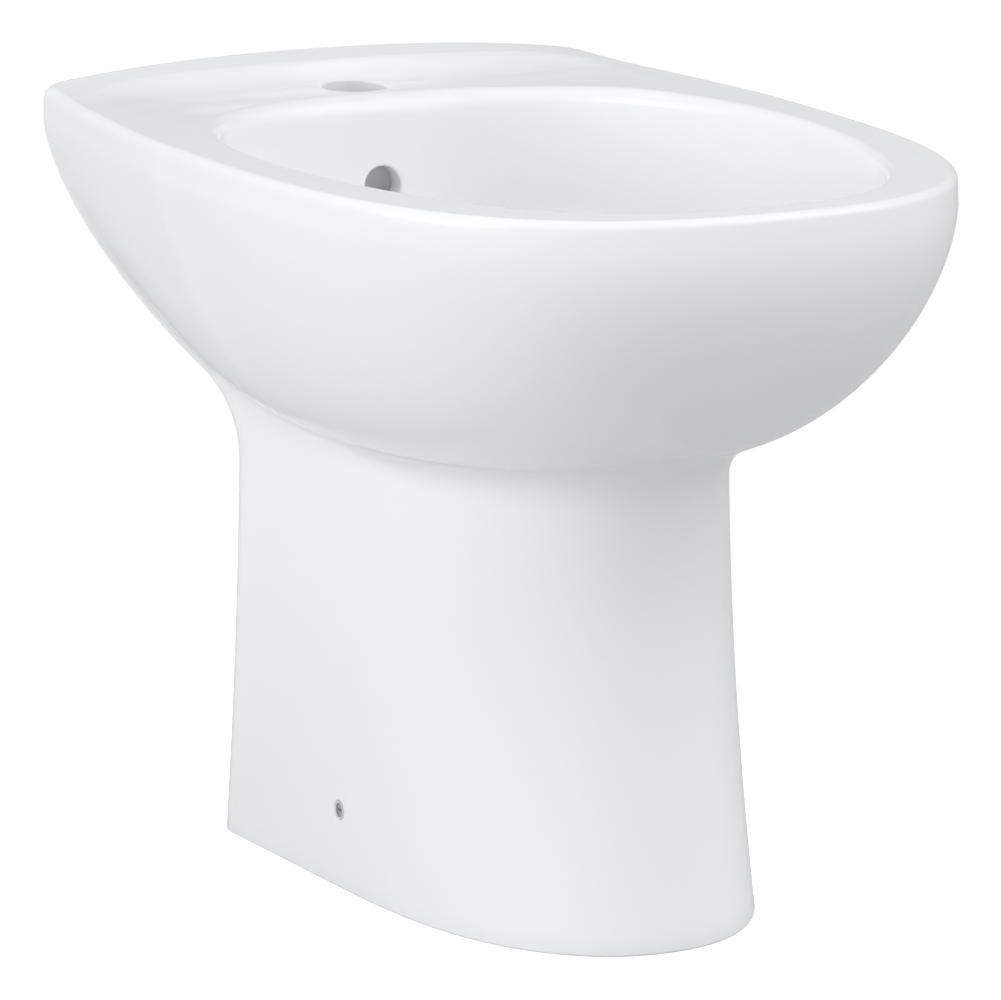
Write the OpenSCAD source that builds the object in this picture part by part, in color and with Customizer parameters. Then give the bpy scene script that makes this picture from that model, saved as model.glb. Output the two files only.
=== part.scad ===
// Floor standing bidet: a glazed ceramic body with a bowl, one tap hole, an overflow and a
// hollow pedestal that is open to the wall, with its push-open waste, bottle trap and floor fixings.
// X runs across, +Y points to the wall, Z is up. The origin is on the floor, under the middle
// of the body's length and width.

/* [Body] */
// Greatest width of the bowl
body_w = 360; // [340:1:380]
// Length from the front tip to the wall
body_l = 530; // [510:1:550]
// Height of the rim above the floor
rim_h = 389.5; // [380:0.5:400]
// How far the rear ledge stands above the rim at its middle
ledge_rise = 11.2; // [8:0.5:16]
// Height of the crease where the bowl meets the pedestal
neck_h = 241; // [235:1:246]
// Wall thickness of the pedestal
wall = 11; // [10:0.5:12]

/* [Bowl] */
// Half width of the opening
open_half_w = 148.5; // [140:0.5:152]
// How far the opening reaches forward of the middle
open_front = 239; // [225:1:242]
// How far the opening reaches to the rear of the middle
open_rear = 172.5; // [165:0.5:176]
// Height of the bowl's floor
bowl_floor_h = 256; // [252:1:262]

/* [Holes] */
// Diameter of the tap hole
tap_d = 35; // [32:0.5:36]
// Distance of the tap hole from the wall
tap_from_wall = 58; // [54:1:60]
// Diameter of the overflow hole
overflow_d = 21; // [16:0.5:22]
// Diameter of the waste hole
waste_hole_d = 46; // [44:0.5:48]
// Diameter of the side fixing holes
side_hole_d = 10; // [8:0.5:11]
// Height of the side fixing holes
side_hole_h = 41.5; // [38:0.5:46]

/* [Waste] */
// Diameter of the plug's cap
cap_d = 62; // [58:1:64]
// How far the plug lifts
plug_lift = 8.5; // [6:0.5:9]
// Outer diameter of the waste's threaded tail
tail_d = 41.6; // [40:0.2:42]
// Outer diameter of the trap's pipes
pipe_d = 32; // [30:1:32]

/* [Hidden] */
$fn = 64;

// Plan outlines
// An outline is [front y, widest y, rear y, half width, narrowing to the rear, corner radius,
// front power across, front power along, power of the narrowing, widening per mm towards the wall].
half_l = body_l / 2;
rim_line = [-half_l, 60, half_l, body_w / 2, 20.5, 9, 2.57, 3.13, 1.3, 0];
neck_line = [-134.5, -9.5, 130.5, 97.5, 0, 26, 2.13, 2.16, 1, 0.0012];
foot_line = [-166.5, 23, 150.5, 101.5, 0, 13, 2.12, 3.06, 1, 0.0006];

// Number of points on one half of an outline: rear edge, rear corner, side, front
n_rear = 5;
n_corner = 5;
n_side = 7;
n_front = 13;
i_side = n_rear + n_corner;
i_front = i_side + n_side;
n_half = i_front + n_front;
n_loop = 2 * (n_half - 1);

function half_width(o, y) =
    o[3] * (1 + o[9] * (y - o[1])) - o[4] * pow(max(0, (y - o[1]) / (o[2] - o[1])), o[8]);
function rear_pt(o, s) = [(half_width(o, o[2]) - o[5]) * s, o[2]];
function corner_pt(o, a) =
    let (y = o[2] - o[5] + o[5] * cos(a)) [half_width(o, y) - o[5] + o[5] * sin(a), y];
// The spacing of the side points grows or shrinks so that it runs on smoothly into the front
function side_pt(o, s) =
    let (run = o[2] - o[5] - o[1], step = (o[1] - o[0]) * PI / 2 / (n_front - 1),
         gain = step * n_side / run - 1, y = o[2] - o[5] - run * (s + gain * s * (s - 1)))
    [half_width(o, y), y];
function front_pt(o, s) =
    let (g = sin(90 * s), y = o[1] - (o[1] - o[0]) * g)
    [o[3] * (1 + o[9] * (y - o[1])) * pow(max(0, 1 - pow(g, o[7])), 1 / o[6]), y];
function outline_pt(o, i) =
    i < n_rear ? rear_pt(o, i / n_rear)
    : i < i_side ? corner_pt(o, 90 * (i - n_rear) / n_corner)
    : i < i_front ? side_pt(o, (i - i_side) / n_side)
    : front_pt(o, (i - i_front) / (n_front - 1));
function inset(o, d) =
    [o[0] + d, o[1], o[2] - d, o[3] - d, o[4], max(3, o[5] - d), o[6], o[7], o[8], o[9]];

// The opening: a front and a rear superellipse about its widest line
open_wide_y = -7;
open_front_pow = [2.85, 1.8];
open_rear_pow = [2.8, 1.87];
function opening_pt(i, grow) =
    i >= i_front
    ? let (a = 90 * (i - i_front) / (n_front - 1))
      [(open_half_w + grow) * pow(cos(a), 2 / open_front_pow[0]),
       open_wide_y - (open_front + open_wide_y + grow) * pow(sin(a), 2 / open_front_pow[1])]
    : let (a = 90 * (1 - i / i_front))
      [(open_half_w + grow) * pow(cos(a), 2 / open_rear_pow[0]),
       open_wide_y + (open_rear - open_wide_y + grow) * pow(sin(a), 2 / open_rear_pow[1])];

// Values that change round the body
// A list holds the value at the middle of the rear, the rear corner, the side and the front tip.
function place(i) =
    i < n_rear ? i / n_rear
    : i < i_side ? 1
    : i < i_front ? 1 + (i - i_side) / n_side
    : 2 + (i - i_front) / (n_front - 1);
function round_body(v, i) =
    let (u = place(i), k = min(2, floor(u)), f = u - k, s = f * f * (3 - 2 * f))
    v[k] * (1 - s) + v[k + 1] * s;
belly_across = [1.4, 1.12, 2.35, 1.22];
belly_up = [2.0, 1.6, 1.23, 1.9];
neck_fillet = [40, 32, 16, 22];
lean_in = [0, 0.25, 0.5, 0.5];
// Height at which the bowl's outside stands upright
upright_h = 373.5;
edge_r = [4.5, 9, 5, 4.5];
flare_pow = 1.6;

// Top surface
tap_y = half_l - tap_from_wall;
ledge_half_w = 168;
ledge_slope = 0.11;
ledge_depth = 31;
// Power of the ledge's fall to its ends
ledge_pow = 2.8;
// Share of the ledge's rise over which its front edge is rounded
ledge_round = 0.22;
foot_tilt = 0.035;
deck_dip = 2.5;
function clamp01(v) = min(1, max(0, v));
function smooth01(v) = let (c = clamp01(v)) c * c * (3 - 2 * c);
function soft_min(a, b, k) = let (h = max(k - abs(a - b), 0)) min(a, b) - h * h / (4 * k);
// Width of the ledge's face, narrow behind the tap hole
function ledge_width(x) = 10 + 24 * (1 - exp(-pow(x / 45, 2)));
// The ledge's front edge, which swings forward at both ends
function ledge_front(x) = half_l - ledge_depth - 20 * smooth01((abs(x) - 122) / 39);
function deck_z(x, y) =
    rim_h - smooth01((y - 110) / 70) * (1 - pow(clamp01(abs(x) / 150), 2))
    * (deck_dip + foot_tilt * max(0, tap_y - y));
function ledge_z(x, y) =
    let (u = min(1, abs(x) / ledge_half_w))
    rim_h + ledge_rise * (1 - pow(u, ledge_pow)) - ledge_slope * (1 - pow(u, 4)) * (half_l - y);
function top_z(x, y) =
    let (base = deck_z(x, y), front = ledge_front(x), rise = ledge_z(x, front) - base,
         up = max(0, 1 - (front - y) / ledge_width(x)),
         slope = base + rise * min(1, up * up) + 0.8 * max(0, y - front))
    y < 150 ? base : max(base, soft_min(ledge_z(x, y), slope, max(0.2, ledge_round * rise)));

// Outside of the body
function lerp(a, b, s) = a + (b - a) * s;
function rim_xy(i) = outline_pt(rim_line, i);
function neck_xy(i) = outline_pt(neck_line, i);
function out_dir(i) = let (d = rim_xy(i) - neck_xy(i)) d / norm(d);
function reach(i) = norm(rim_xy(i) - neck_xy(i));
function at(xy, z) = [xy[0], xy[1], z];
function belly_start(i) =
    let (fillet = min(0.6, round_body(neck_fillet, i) / reach(i)))
    asin(pow(fillet, round_body(belly_across, i) / 2));
function belly_out(i, a) = pow(sin(a), 2 / round_body(belly_across, i));
function belly_rise(i, a) = 1 - pow(cos(a), 2 / round_body(belly_up, i));
function belly_pt(i, s) =
    let (a = lerp(belly_start(i), 90, s))
    at(neck_xy(i) + out_dir(i) * reach(i) * belly_out(i, a),
       neck_h + (upright_h - neck_h) * belly_rise(i, a));
// Height at which the tangent at the start of the bowl's outside meets the pedestal
function crease_h(i) =
    let (a = belly_start(i), m = round_body(belly_across, i), n = round_body(belly_up, i),
         run = reach(i) * 2 / m * pow(sin(a), 2 / m - 1) * cos(a),
         climb = (upright_h - neck_h) * 2 / n * pow(cos(a), 2 / n - 1) * sin(a))
    belly_pt(i, 0)[2] - reach(i) * belly_out(i, a) * climb / run;
function fillet_low(i) = crease_h(i) - min(round_body(neck_fillet, i), 0.6 * reach(i));
function stem_xy(i, z, d) =
    let (w = pow(clamp01(1 - z / neck_h), flare_pow))
    lerp(outline_pt(inset(neck_line, d), i), outline_pt(inset(foot_line, d), i), w);
function fillet_pt(i, s) =
    let (b = belly_pt(i, 0), c = crease_h(i), z = lerp(lerp(fillet_low(i), c, s), lerp(c, b[2], s), s))
    at(stem_xy(i, z, 0) + out_dir(i) * reach(i) * belly_out(i, belly_start(i)) * s * s, z);
function edge_pt(i, a) =
    let (d = round_body(lean_in, i), r = round_body(edge_r, i),
         top = rim_xy(i) - out_dir(i) * (d + r), z = top_z(top[0], top[1]) - r)
    at(rim_xy(i) - out_dir(i) * (d + r * (1 - cos(a))), z + r * sin(a));

// Top and bowl
// Radius of the bowl's edge: small at the front and sides, a soft roll at the rear
inner_edge = [12, 8, 5, 5];
waste_y = 15;
waste_xy = [0, waste_y];
// Powers of the bowl's profile, first at the front and sides, then at the rear
bowl_across = [2.65, 4.5];
bowl_up = [2.4, 2.6];
function rearward(xy) = smooth01(((xy[1] - waste_y) / max(1, norm(xy - waste_xy)) - 0.1) / 0.8);
function across_pow(xy) = lerp(bowl_across[0], bowl_across[1], rearward(xy));
function up_pow(xy) = lerp(bowl_up[0], bowl_up[1], rearward(xy));
function toward_waste(xy, d) = let (v = waste_xy - xy) xy + v / norm(v) * d;
function inner_xy(i) = opening_pt(i, 0);
function inner_start(i) = toward_waste(inner_xy(i), -round_body(inner_edge, i));
function top_pt(i, s) =
    let (a = edge_pt(i, 90), p = lerp([a[0], a[1]], inner_start(i), s)) at(p, top_z(p[0], p[1]));
function inner_edge_pt(i, a) =
    let (r = round_body(inner_edge, i), s = inner_start(i), z = top_z(s[0], s[1]))
    at(toward_waste(inner_xy(i), -r * (1 - sin(a))), z - r * (1 - cos(a)));
function bowl_pt(i, a) =
    let (e = inner_edge_pt(i, 90), p = [e[0], e[1]], k = pow(cos(a), 2 / across_pow(p)),
         h = 1 - pow(sin(a), 2 / up_pow(p)))
    at(lerp(waste_xy, p, k), bowl_floor_h + (e[2] - bowl_floor_h) * h);

// Inside of the pedestal
ceiling_h = bowl_floor_h - 14;
ceiling_r = 12;
function inside_pt(i, s) = let (z = (ceiling_h - ceiling_r) * s) at(stem_xy(i, z, wall), z);
function ceiling_edge_pt(i, a) =
    let (p = stem_xy(i, ceiling_h - ceiling_r, wall))
    at(toward_waste(p, ceiling_r * (1 - cos(a))), ceiling_h - ceiling_r * (1 - sin(a)));
function ceiling_pt(i, k) =
    let (p = ceiling_edge_pt(i, 90)) at(lerp(waste_xy, [p[0], p[1]], k), ceiling_h);

// The closed skin of the body, ring by ring
// From the waste up the bowl, over the rim, down the outside to the floor and up the inside
bowl_steps = [78, 66, 54, 42, 30, 18, 8];
top_steps = [1, 0.85, 0.7, 0.58, 0.475, 0.43, 0.38, 0.34, 0.27, 0.18, 0.09];
rings = concat(
    [for (a = bowl_steps) [for (i = [0:n_half - 1]) bowl_pt(i, a)]],
    [for (a = [90, 60, 30]) [for (i = [0:n_half - 1]) inner_edge_pt(i, a)]],
    [for (s = top_steps) [for (i = [0:n_half - 1]) top_pt(i, s)]],
    [for (a = [90, 60, 30, 0]) [for (i = [0:n_half - 1]) edge_pt(i, a)]],
    [for (s = [1, 0.86, 0.72, 0.58, 0.44, 0.3, 0.15, 0]) [for (i = [0:n_half - 1]) belly_pt(i, s)]],
    [for (s = [0.66, 0.33]) [for (i = [0:n_half - 1]) fillet_pt(i, s)]],
    [for (s = [1, 0.66, 0.36, 0.15, 0])
        [for (i = [0:n_half - 1]) at(stem_xy(i, fillet_low(i) * s, 0), fillet_low(i) * s)]],
    [for (s = [0, 0.3, 0.65, 1]) [for (i = [0:n_half - 1]) inside_pt(i, s)]],
    [for (a = [30, 60, 90]) [for (i = [0:n_half - 1]) ceiling_edge_pt(i, a)]],
    [for (k = [0.6, 0.3]) [for (i = [0:n_half - 1]) ceiling_pt(i, k)]]
);
function loop_of(r) =
    concat(r, [for (i = [n_half - 2:-1:1]) [-r[i][0], r[i][1], r[i][2]]]);
skin_pts = concat(
    [for (r = rings) each loop_of(r)],
    [[0, waste_y, bowl_floor_h], [0, waste_y, ceiling_h]]
);
n_rings = len(rings);
skin_faces = concat(
    [for (k = [0:n_rings - 2]) for (j = [0:n_loop - 1])
        let (a = k * n_loop + j, b = k * n_loop + (j + 1) % n_loop, c = b + n_loop, d = a + n_loop)
        each [[a, c, b], [a, d, c]]],
    [for (j = [0:n_loop - 1]) [n_rings * n_loop, j, (j + 1) % n_loop]],
    [for (j = [0:n_loop - 1])
        let (k = (n_rings - 1) * n_loop) [n_rings * n_loop + 1, k + (j + 1) % n_loop, k + j]]
);

// Openings in the ceramic
module on_waste() { translate([0, waste_y, 0]) children(); }
module disc(r, z0, z1) { translate([0, 0, z0]) cylinder(r = r, h = z1 - z0); }
module tube(r_out, r_in, z0, z1) {
    difference() {
        disc(r_out, z0, z1);
        disc(r_in, z0 - 1, z1 + 1);
    }
}
// A bar along X with the given outline across [y, z]
module bar(outline, x0, x1) {
    translate([x0, 0, 0]) rotate([90, 0, 90]) linear_extrude(height = x1 - x0) polygon(outline);
}

// The space under the deck, open to the wall and down into the pedestal
rear_half_w = 80;
rear_top = 330;
rear_beam = 12;
deck_t = 15;
under_deck = rim_h - deck_dip - deck_t;
behind_bowl = open_rear + 11;
centre_space = [
    [100, -1], [100, ceiling_h - 4], [138, ceiling_h - 2], [163, ceiling_h + 7], [180, ceiling_h + 27],
    [behind_bowl, ceiling_h + 60], [behind_bowl, under_deck], [half_l - rear_beam, under_deck],
    [half_l - rear_beam, 366], [half_l - 24, 338], [half_l - 29, rear_top], [half_l + 20, rear_top],
    [half_l + 20, -1]
];
side_space = [
    [behind_bowl + 10, 300], [205, 300], [221, 318], [243, 345], [half_l - rear_beam, 362],
    [half_l - rear_beam, under_deck], [behind_bowl + 10, under_deck]
];
side_space_x = 118;
module rear_space() {
    bar(centre_space, -rear_half_w, rear_half_w);
    bar(side_space, -side_space_x, side_space_x);
}

// The overflow runs from its hole down behind the bowl and forward to the waste
overflow_h = 337.5;
duct_y = [open_rear + 3, open_rear + 10, open_rear + 18, open_rear + 25];
duct_top = overflow_h + 13;
duct_low = [0, open_rear + 16, bowl_floor_h + 6];
duct_end = [0, waste_y + 20, bowl_floor_h - 20];
duct_half_w = 12;
duct_wall = 8;
module sloping_duct(r) {
    run = duct_low - duct_end;
    translate(duct_end) rotate([-atan2(run[1], run[2]), 0, 0]) cylinder(r = r, h = norm(run));
}
module duct_walls() {
    bar([[duct_y[0], duct_top + 5], [duct_y[3], duct_top + 5], [duct_y[3], bowl_floor_h + 8],
         [duct_y[3] - 8, bowl_floor_h - 7], [duct_y[0] - 6, bowl_floor_h - 7]],
        -duct_half_w - duct_wall, duct_half_w + duct_wall);
    sloping_duct(13);
}
module duct_bore() {
    translate([-duct_half_w, duct_y[1], duct_low[2]])
        cube([2 * duct_half_w, duct_y[2] - duct_y[1], duct_top - duct_low[2]]);
    sloping_duct(7);
    translate([0, duct_y[1] + 2, overflow_h]) rotate([90, 0, 0]) cylinder(d = overflow_d, h = 40);
}

boss_r = 36;
boss_z = bowl_floor_h - 32;
recess_z = bowl_floor_h - 2;
recess_r = cap_d / 2 + 2;
side_hole_from = 112;
module ceramic_body() {
    color("white")
    difference() {
        union() {
            difference() {
                polyhedron(points = skin_pts, faces = skin_faces, convexity = 12);
                rear_space();
            }
            on_waste() disc(boss_r, boss_z, ceiling_h + 8);
            duct_walls();
        }
        on_waste() disc(waste_hole_d / 2, boss_z - 1, bowl_floor_h + 1);
        on_waste() disc(recess_r, recess_z, bowl_floor_h + 4);
        duct_bore();
        translate([0, tap_y, under_deck - 1]) cylinder(d = tap_d, h = 40);
        for (side = [-1, 1])
            translate([side * side_hole_from, waste_y, side_hole_h]) rotate([0, -90 * side, 0])
                cylinder(d = side_hole_d, h = 30);
    }
}

// Waste
cap_r = cap_d / 2;
tail_r = tail_d / 2;
flange_top = bowl_floor_h + 1;
tail_end = bowl_floor_h - 78;
tail_bore = tail_r - 3.3;
bridge_z = bowl_floor_h - 30;
stem_r = 4;
cartridge_r = 6.5;
// The cartridge's floor lies below the bridge by the plug's lift and its own thickness
cartridge_z = bridge_z - plug_lift - 3.5;
plug_low = flange_top + 0.8;
module waste_flange() {
    color("gainsboro")
    on_waste() difference() {
        union() {
            tube(cap_r + 0.5, tail_bore, flange_top - 2, flange_top);
            tube(tail_r, tail_bore, tail_end, flange_top - 1);
            disc(9, bridge_z, bridge_z + 4);
            translate([-tail_r + 1, -3, bridge_z]) cube([2 * tail_r - 2, 6, 4]);
        }
        disc(cartridge_r + 0.05, bridge_z - 1, bridge_z + 5);
        for (side = [-1, 1])
            translate([-4, side * tail_r - 6, bridge_z + 5]) cube([8, 12, 12]);
    }
}
module flange_seal() {
    color("dimgray") on_waste() tube(cap_r, cap_r - 7, recess_z, flange_top - 2);
}
module waste_plug() {
    rise = 6.7;
    skirt = 1.5;
    lip = 2.2;
    dome = [for (k = [0:8]) let (s = 1 - k / 8) [cap_r * s, plug_low + lip + (rise - lip) * (1 - s * s)]];
    color("gainsboro")
    on_waste() rotate_extrude()
        polygon(concat([[0, plug_low + skirt], [cap_r - 5.5, plug_low + skirt], [cap_r - 5.5, plug_low],
                        [cap_r - 0.6, plug_low], [cap_r, plug_low + 0.6]], dome));
}
module plug_seal() {
    color("dimgray") on_waste() tube(cap_r - 6, 14, plug_low - 0.5, plug_low + 1.5);
}
module plug_stem() {
    color("silver") on_waste() disc(stem_r, bridge_z + 2, plug_low + 1.5);
}
module plug_cartridge() {
    color("whitesmoke")
    on_waste() difference() {
        disc(cartridge_r, cartridge_z, bridge_z + 22);
        disc(stem_r + 0.08, cartridge_z + 2, bridge_z + 23);
    }
}
// A helix of round wire with flat-lying ends, from the cartridge's floor to the stem
spring_turns = 5;
spring_wire = 0.7;
spring_r = stem_r - 0.7;
spring_sides = 6;
spring_steps = 60;
spring_z = [cartridge_z + 2 + spring_wire / 2, bridge_z + 2 - spring_wire / 2];
function spring_pt(k, j) =
    let (t = k / spring_steps, a = 360 * spring_turns * t, w = 360 * j / spring_sides,
         r = spring_r + spring_wire / 2 * cos(w))
    [r * cos(a), r * sin(a), lerp(spring_z[0], spring_z[1], t) + spring_wire / 2 * sin(w)];
module plug_spring() {
    last = spring_steps * spring_sides;
    color("silver")
    on_waste() polyhedron(
        points = [for (k = [0:spring_steps]) for (j = [0:spring_sides - 1]) spring_pt(k, j)],
        faces = concat(
            [for (k = [0:spring_steps - 1]) for (j = [0:spring_sides - 1])
                let (a = k * spring_sides + j, b = k * spring_sides + (j + 1) % spring_sides,
                     c = b + spring_sides, d = a + spring_sides)
                each [[a, b, c], [a, c, d]]],
            [[for (j = [spring_sides - 1:-1:0]) j]],
            [[for (j = [0:spring_sides - 1]) last + j]]));
}
washer_z = boss_z - 3.5;
slip_z = washer_z - 2;
nut_z = slip_z - 9.5;
module lower_washer() { color("dimgray") on_waste() tube(boss_r - 2, tail_r + 0.4, washer_z, boss_z); }
module slip_ring() { color("whitesmoke") on_waste() tube(boss_r - 3, tail_r + 0.2, slip_z, washer_z); }
module lock_nut() {
    color("goldenrod")
    on_waste() difference() {
        translate([0, 0, nut_z]) cylinder(r = 30, h = slip_z - nut_z, $fn = 6);
        disc(tail_r + 0.05, nut_z - 1, slip_z + 1);
    }
}

// Trap
pipe_r = pipe_d / 2;
pipe_bore = pipe_r - 1.2;
slide_r = pipe_r + 0.2;
seal_low = tail_end - 3;
trap_low = bowl_floor_h - 216;
trap_rim = trap_low + 44;
trap_shoulder = trap_rim + 54;
trap_neck = trap_shoulder + 12;
trap_r = 31;
trap_bore = trap_r - 3;
neck_r = 22;
outlet_r = 21;
seal_r = 20;
seal_h = 4;
outlet_h = trap_rim + 33;
outlet_end = waste_y + 45;
module grip_nut(r, h) {
    ribs = 16;
    cylinder(r = r, h = h);
    for (k = [0:ribs - 1]) rotate([0, 0, 360 * k / ribs])
        translate([r - 1, -1.5, 1]) cube([2.5, 3, h - 2]);
}
module inlet_nut() {
    color("silver")
    on_waste() difference() {
        translate([0, 0, seal_low - 5]) grip_nut(25, 26);
        disc(slide_r + 0.1, seal_low - 6, seal_low);
        disc(tail_r + 0.05, seal_low - 2, seal_low + 22);
    }
}
module inlet_seal() { color("dimgray") on_waste() tube(tail_r - 0.3, slide_r, seal_low, tail_end); }
module dip_pipe() {
    color("silver")
    on_waste() {
        tube(pipe_r, pipe_bore, trap_rim - 6, seal_low);
        tube(tail_r - 0.5, pipe_bore, seal_low - 2, seal_low);
    }
}
module neck_nut() {
    color("silver")
    on_waste() difference() {
        translate([0, 0, trap_shoulder + 2]) grip_nut(25, 16);
        disc(neck_r + 0.05, trap_shoulder + 1, trap_neck);
        disc(slide_r, trap_neck - 1, trap_neck + 7);
    }
}
module neck_seal() {
    color("dimgray") on_waste() tube(seal_r, pipe_r + 0.05, trap_neck - seal_h, trap_neck);
}
module trap_outlet(y, r, h) { translate([0, y, outlet_h]) rotate([-90, 0, 0]) cylinder(r = r, h = h); }
module trap_body() {
    color("silver")
    on_waste() difference() {
        union() {
            disc(trap_r, trap_rim + 1, trap_shoulder);
            disc(neck_r, trap_shoulder - 1, trap_neck);
            trap_outlet(20, outlet_r, outlet_end - waste_y - 20);
        }
        disc(trap_bore, trap_rim, trap_shoulder - 3);
        disc(pipe_r + 0.6, trap_shoulder - 4, trap_neck + 1);
        disc(seal_r + 0.1, trap_neck - seal_h, trap_neck + 1);
        trap_outlet(15, pipe_r + 0.6, 40);
        trap_outlet(outlet_end - waste_y - seal_h, seal_r + 0.1, seal_h + 1);
    }
}
module cup_seal() { color("dimgray") on_waste() tube(trap_r, trap_bore, trap_rim - 1, trap_rim + 1); }
module trap_cup() {
    color("silver")
    on_waste() difference() {
        union() {
            disc(trap_r - 4, trap_low, trap_low + 8);
            disc(trap_r, trap_low + 4, trap_rim - 1);
            translate([0, 0, trap_rim - 10]) grip_nut(trap_r + 3.5, 20);
        }
        disc(trap_bore, trap_low + 7, trap_rim - 0.5);
        disc(trap_r + 0.05, trap_rim - 1, trap_rim + 11);
    }
}
module along_outlet(y) { translate([0, y, outlet_h]) rotate([-90, 0, 0]) children(); }
module outlet_nut() {
    color("silver")
    along_outlet(outlet_end - 10) difference() {
        grip_nut(24, 17);
        translate([0, 0, -1]) cylinder(r = outlet_r + 0.05, h = 11);
        cylinder(r = slide_r, h = 18);
    }
}
module outlet_seal() {
    color("dimgray")
    along_outlet(outlet_end - seal_h) difference() {
        cylinder(r = seal_r, h = seal_h);
        translate([0, 0, -1]) cylinder(r = pipe_r + 0.05, h = seal_h + 2);
    }
}
module outlet_pipe() {
    inside = 12;
    long = half_l - outlet_end + inside - 0.5;
    color("silver")
    along_outlet(outlet_end - inside) difference() {
        cylinder(r = pipe_r, h = long);
        translate([0, 0, -1]) cylinder(r = pipe_bore, h = long + 2);
    }
}
module wall_rosette() {
    color("silver")
    along_outlet(half_l - 9) difference() {
        cylinder(r1 = 22, r2 = 32, h = 8.5);
        translate([0, 0, 1.5]) cylinder(r1 = 20, r2 = 30, h = 8.5);
        translate([0, 0, -1]) cylinder(r = slide_r, h = 10);
    }
}

// Floor fixing
bracket_x = [48, 86];
bracket_half = 22;
bracket_t = 4;
floor_hole_x = 62;
floor_hole_d = 8.5;
rib_t = 3;
screw_r = 2;
module bracket_plate(x0, x1, h) {
    translate([x0, -bracket_half, 0]) cube([x1 - x0, 2 * bracket_half, h]);
}
module bracket_rib(side) {
    translate([0, side * (bracket_half - rib_t / 2) + rib_t / 2, 0]) rotate([90, 0, 0])
        linear_extrude(height = rib_t)
            polygon([[bracket_x[0] + 6, 0], [bracket_x[1], 0], [bracket_x[1], side_hole_h + 12]]);
}
module floor_bracket() {
    color("gainsboro")
    on_waste() difference() {
        union() {
            bracket_plate(bracket_x[0], bracket_x[1], bracket_t);
            bracket_plate(bracket_x[1] - bracket_t, bracket_x[1], side_hole_h + 18);
            for (side = [-1, 1]) bracket_rib(side);
        }
        translate([floor_hole_x, 0, -1]) cylinder(d = floor_hole_d, h = bracket_t + 2);
        translate([bracket_x[1] - bracket_t - 1, 0, side_hole_h]) rotate([0, 90, 0])
            cylinder(r = screw_r + 0.2, h = bracket_t + 2);
    }
}
module left_bracket() { mirror([1, 0, 0]) floor_bracket(); }
module right_bracket() { floor_bracket(); }
module on_both_sides(x) {
    for (side = [0, 1])
        mirror([side, 0, 0]) translate([x, waste_y, side_hole_h]) rotate([0, 90, 0]) children();
}
bush_x = [bracket_x[1] + 0.2, 100.2];
head_room = 3.2;
nut_t = 3.2;
module side_bushes() {
    color("lightgray")
    on_both_sides(bush_x[0]) difference() {
        cylinder(d = side_hole_d - 0.2, h = bush_x[1] - bush_x[0]);
        translate([0, 0, -1]) cylinder(r = screw_r + 0.2, h = 20);
        translate([0, 0, bush_x[1] - bush_x[0] - head_room]) cylinder(r = 3.8, h = 8);
    }
}
module side_screws() {
    head = 2.6;
    long = bush_x[1] - head_room - bracket_x[1] + 10;
    color("silver")
    on_both_sides(bush_x[1] - head_room - long) {
        cylinder(r = screw_r, h = long + 0.5);
        translate([0, 0, long]) difference() {
            cylinder(r = 3.5, h = head);
            translate([-0.5, -4, head - 1]) cube([1, 8, 2]);
        }
    }
}
module bracket_nuts() {
    color("silver")
    on_both_sides(bracket_x[1] - bracket_t - nut_t) difference() {
        cylinder(r = 4, h = nut_t, $fn = 6);
        translate([0, 0, -1]) cylinder(r = screw_r + 0.05, h = 6);
    }
}

ceramic_body();
waste_flange();
flange_seal();
waste_plug();
plug_seal();
plug_stem();
plug_cartridge();
plug_spring();
lower_washer();
slip_ring();
lock_nut();
inlet_nut();
inlet_seal();
dip_pipe();
neck_nut();
neck_seal();
trap_body();
cup_seal();
trap_cup();
outlet_nut();
outlet_seal();
outlet_pipe();
wall_rosette();
left_bracket();
right_bracket();
side_bushes();
side_screws();
bracket_nuts();
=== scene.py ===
import math
import bmesh
import bpy
import numpy as np
from mathutils import Matrix, Vector


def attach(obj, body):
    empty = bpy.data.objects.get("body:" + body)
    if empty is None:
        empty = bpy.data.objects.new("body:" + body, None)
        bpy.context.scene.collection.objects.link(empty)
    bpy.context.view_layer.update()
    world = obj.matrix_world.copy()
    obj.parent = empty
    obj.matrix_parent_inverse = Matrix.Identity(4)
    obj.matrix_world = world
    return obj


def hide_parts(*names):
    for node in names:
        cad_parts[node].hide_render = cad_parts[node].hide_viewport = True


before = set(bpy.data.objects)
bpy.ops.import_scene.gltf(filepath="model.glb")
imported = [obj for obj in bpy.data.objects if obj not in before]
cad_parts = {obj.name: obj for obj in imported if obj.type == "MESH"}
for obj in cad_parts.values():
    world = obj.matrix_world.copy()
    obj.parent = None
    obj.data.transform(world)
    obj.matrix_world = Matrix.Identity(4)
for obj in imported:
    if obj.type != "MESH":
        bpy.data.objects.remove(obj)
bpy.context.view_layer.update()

scene = bpy.context.scene

# The photograph's camera
# It stands in front, to the left and a little above, and looks at a point inside the body.
cameraView = {
    "turn": 26.289,            # degrees from straight ahead
    "lift": 12.505,            # degrees above level
    "distance": 3.120,
    "aimAlong": -0.012863,     # aim point, sideways in the picture and up
    "aimHeight": 0.198898,
    "focalPixels": 6038.86,
    "pictureWidth": 1001,
    "sensor": 36.0,
    "farthest": 30,
}


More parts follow.
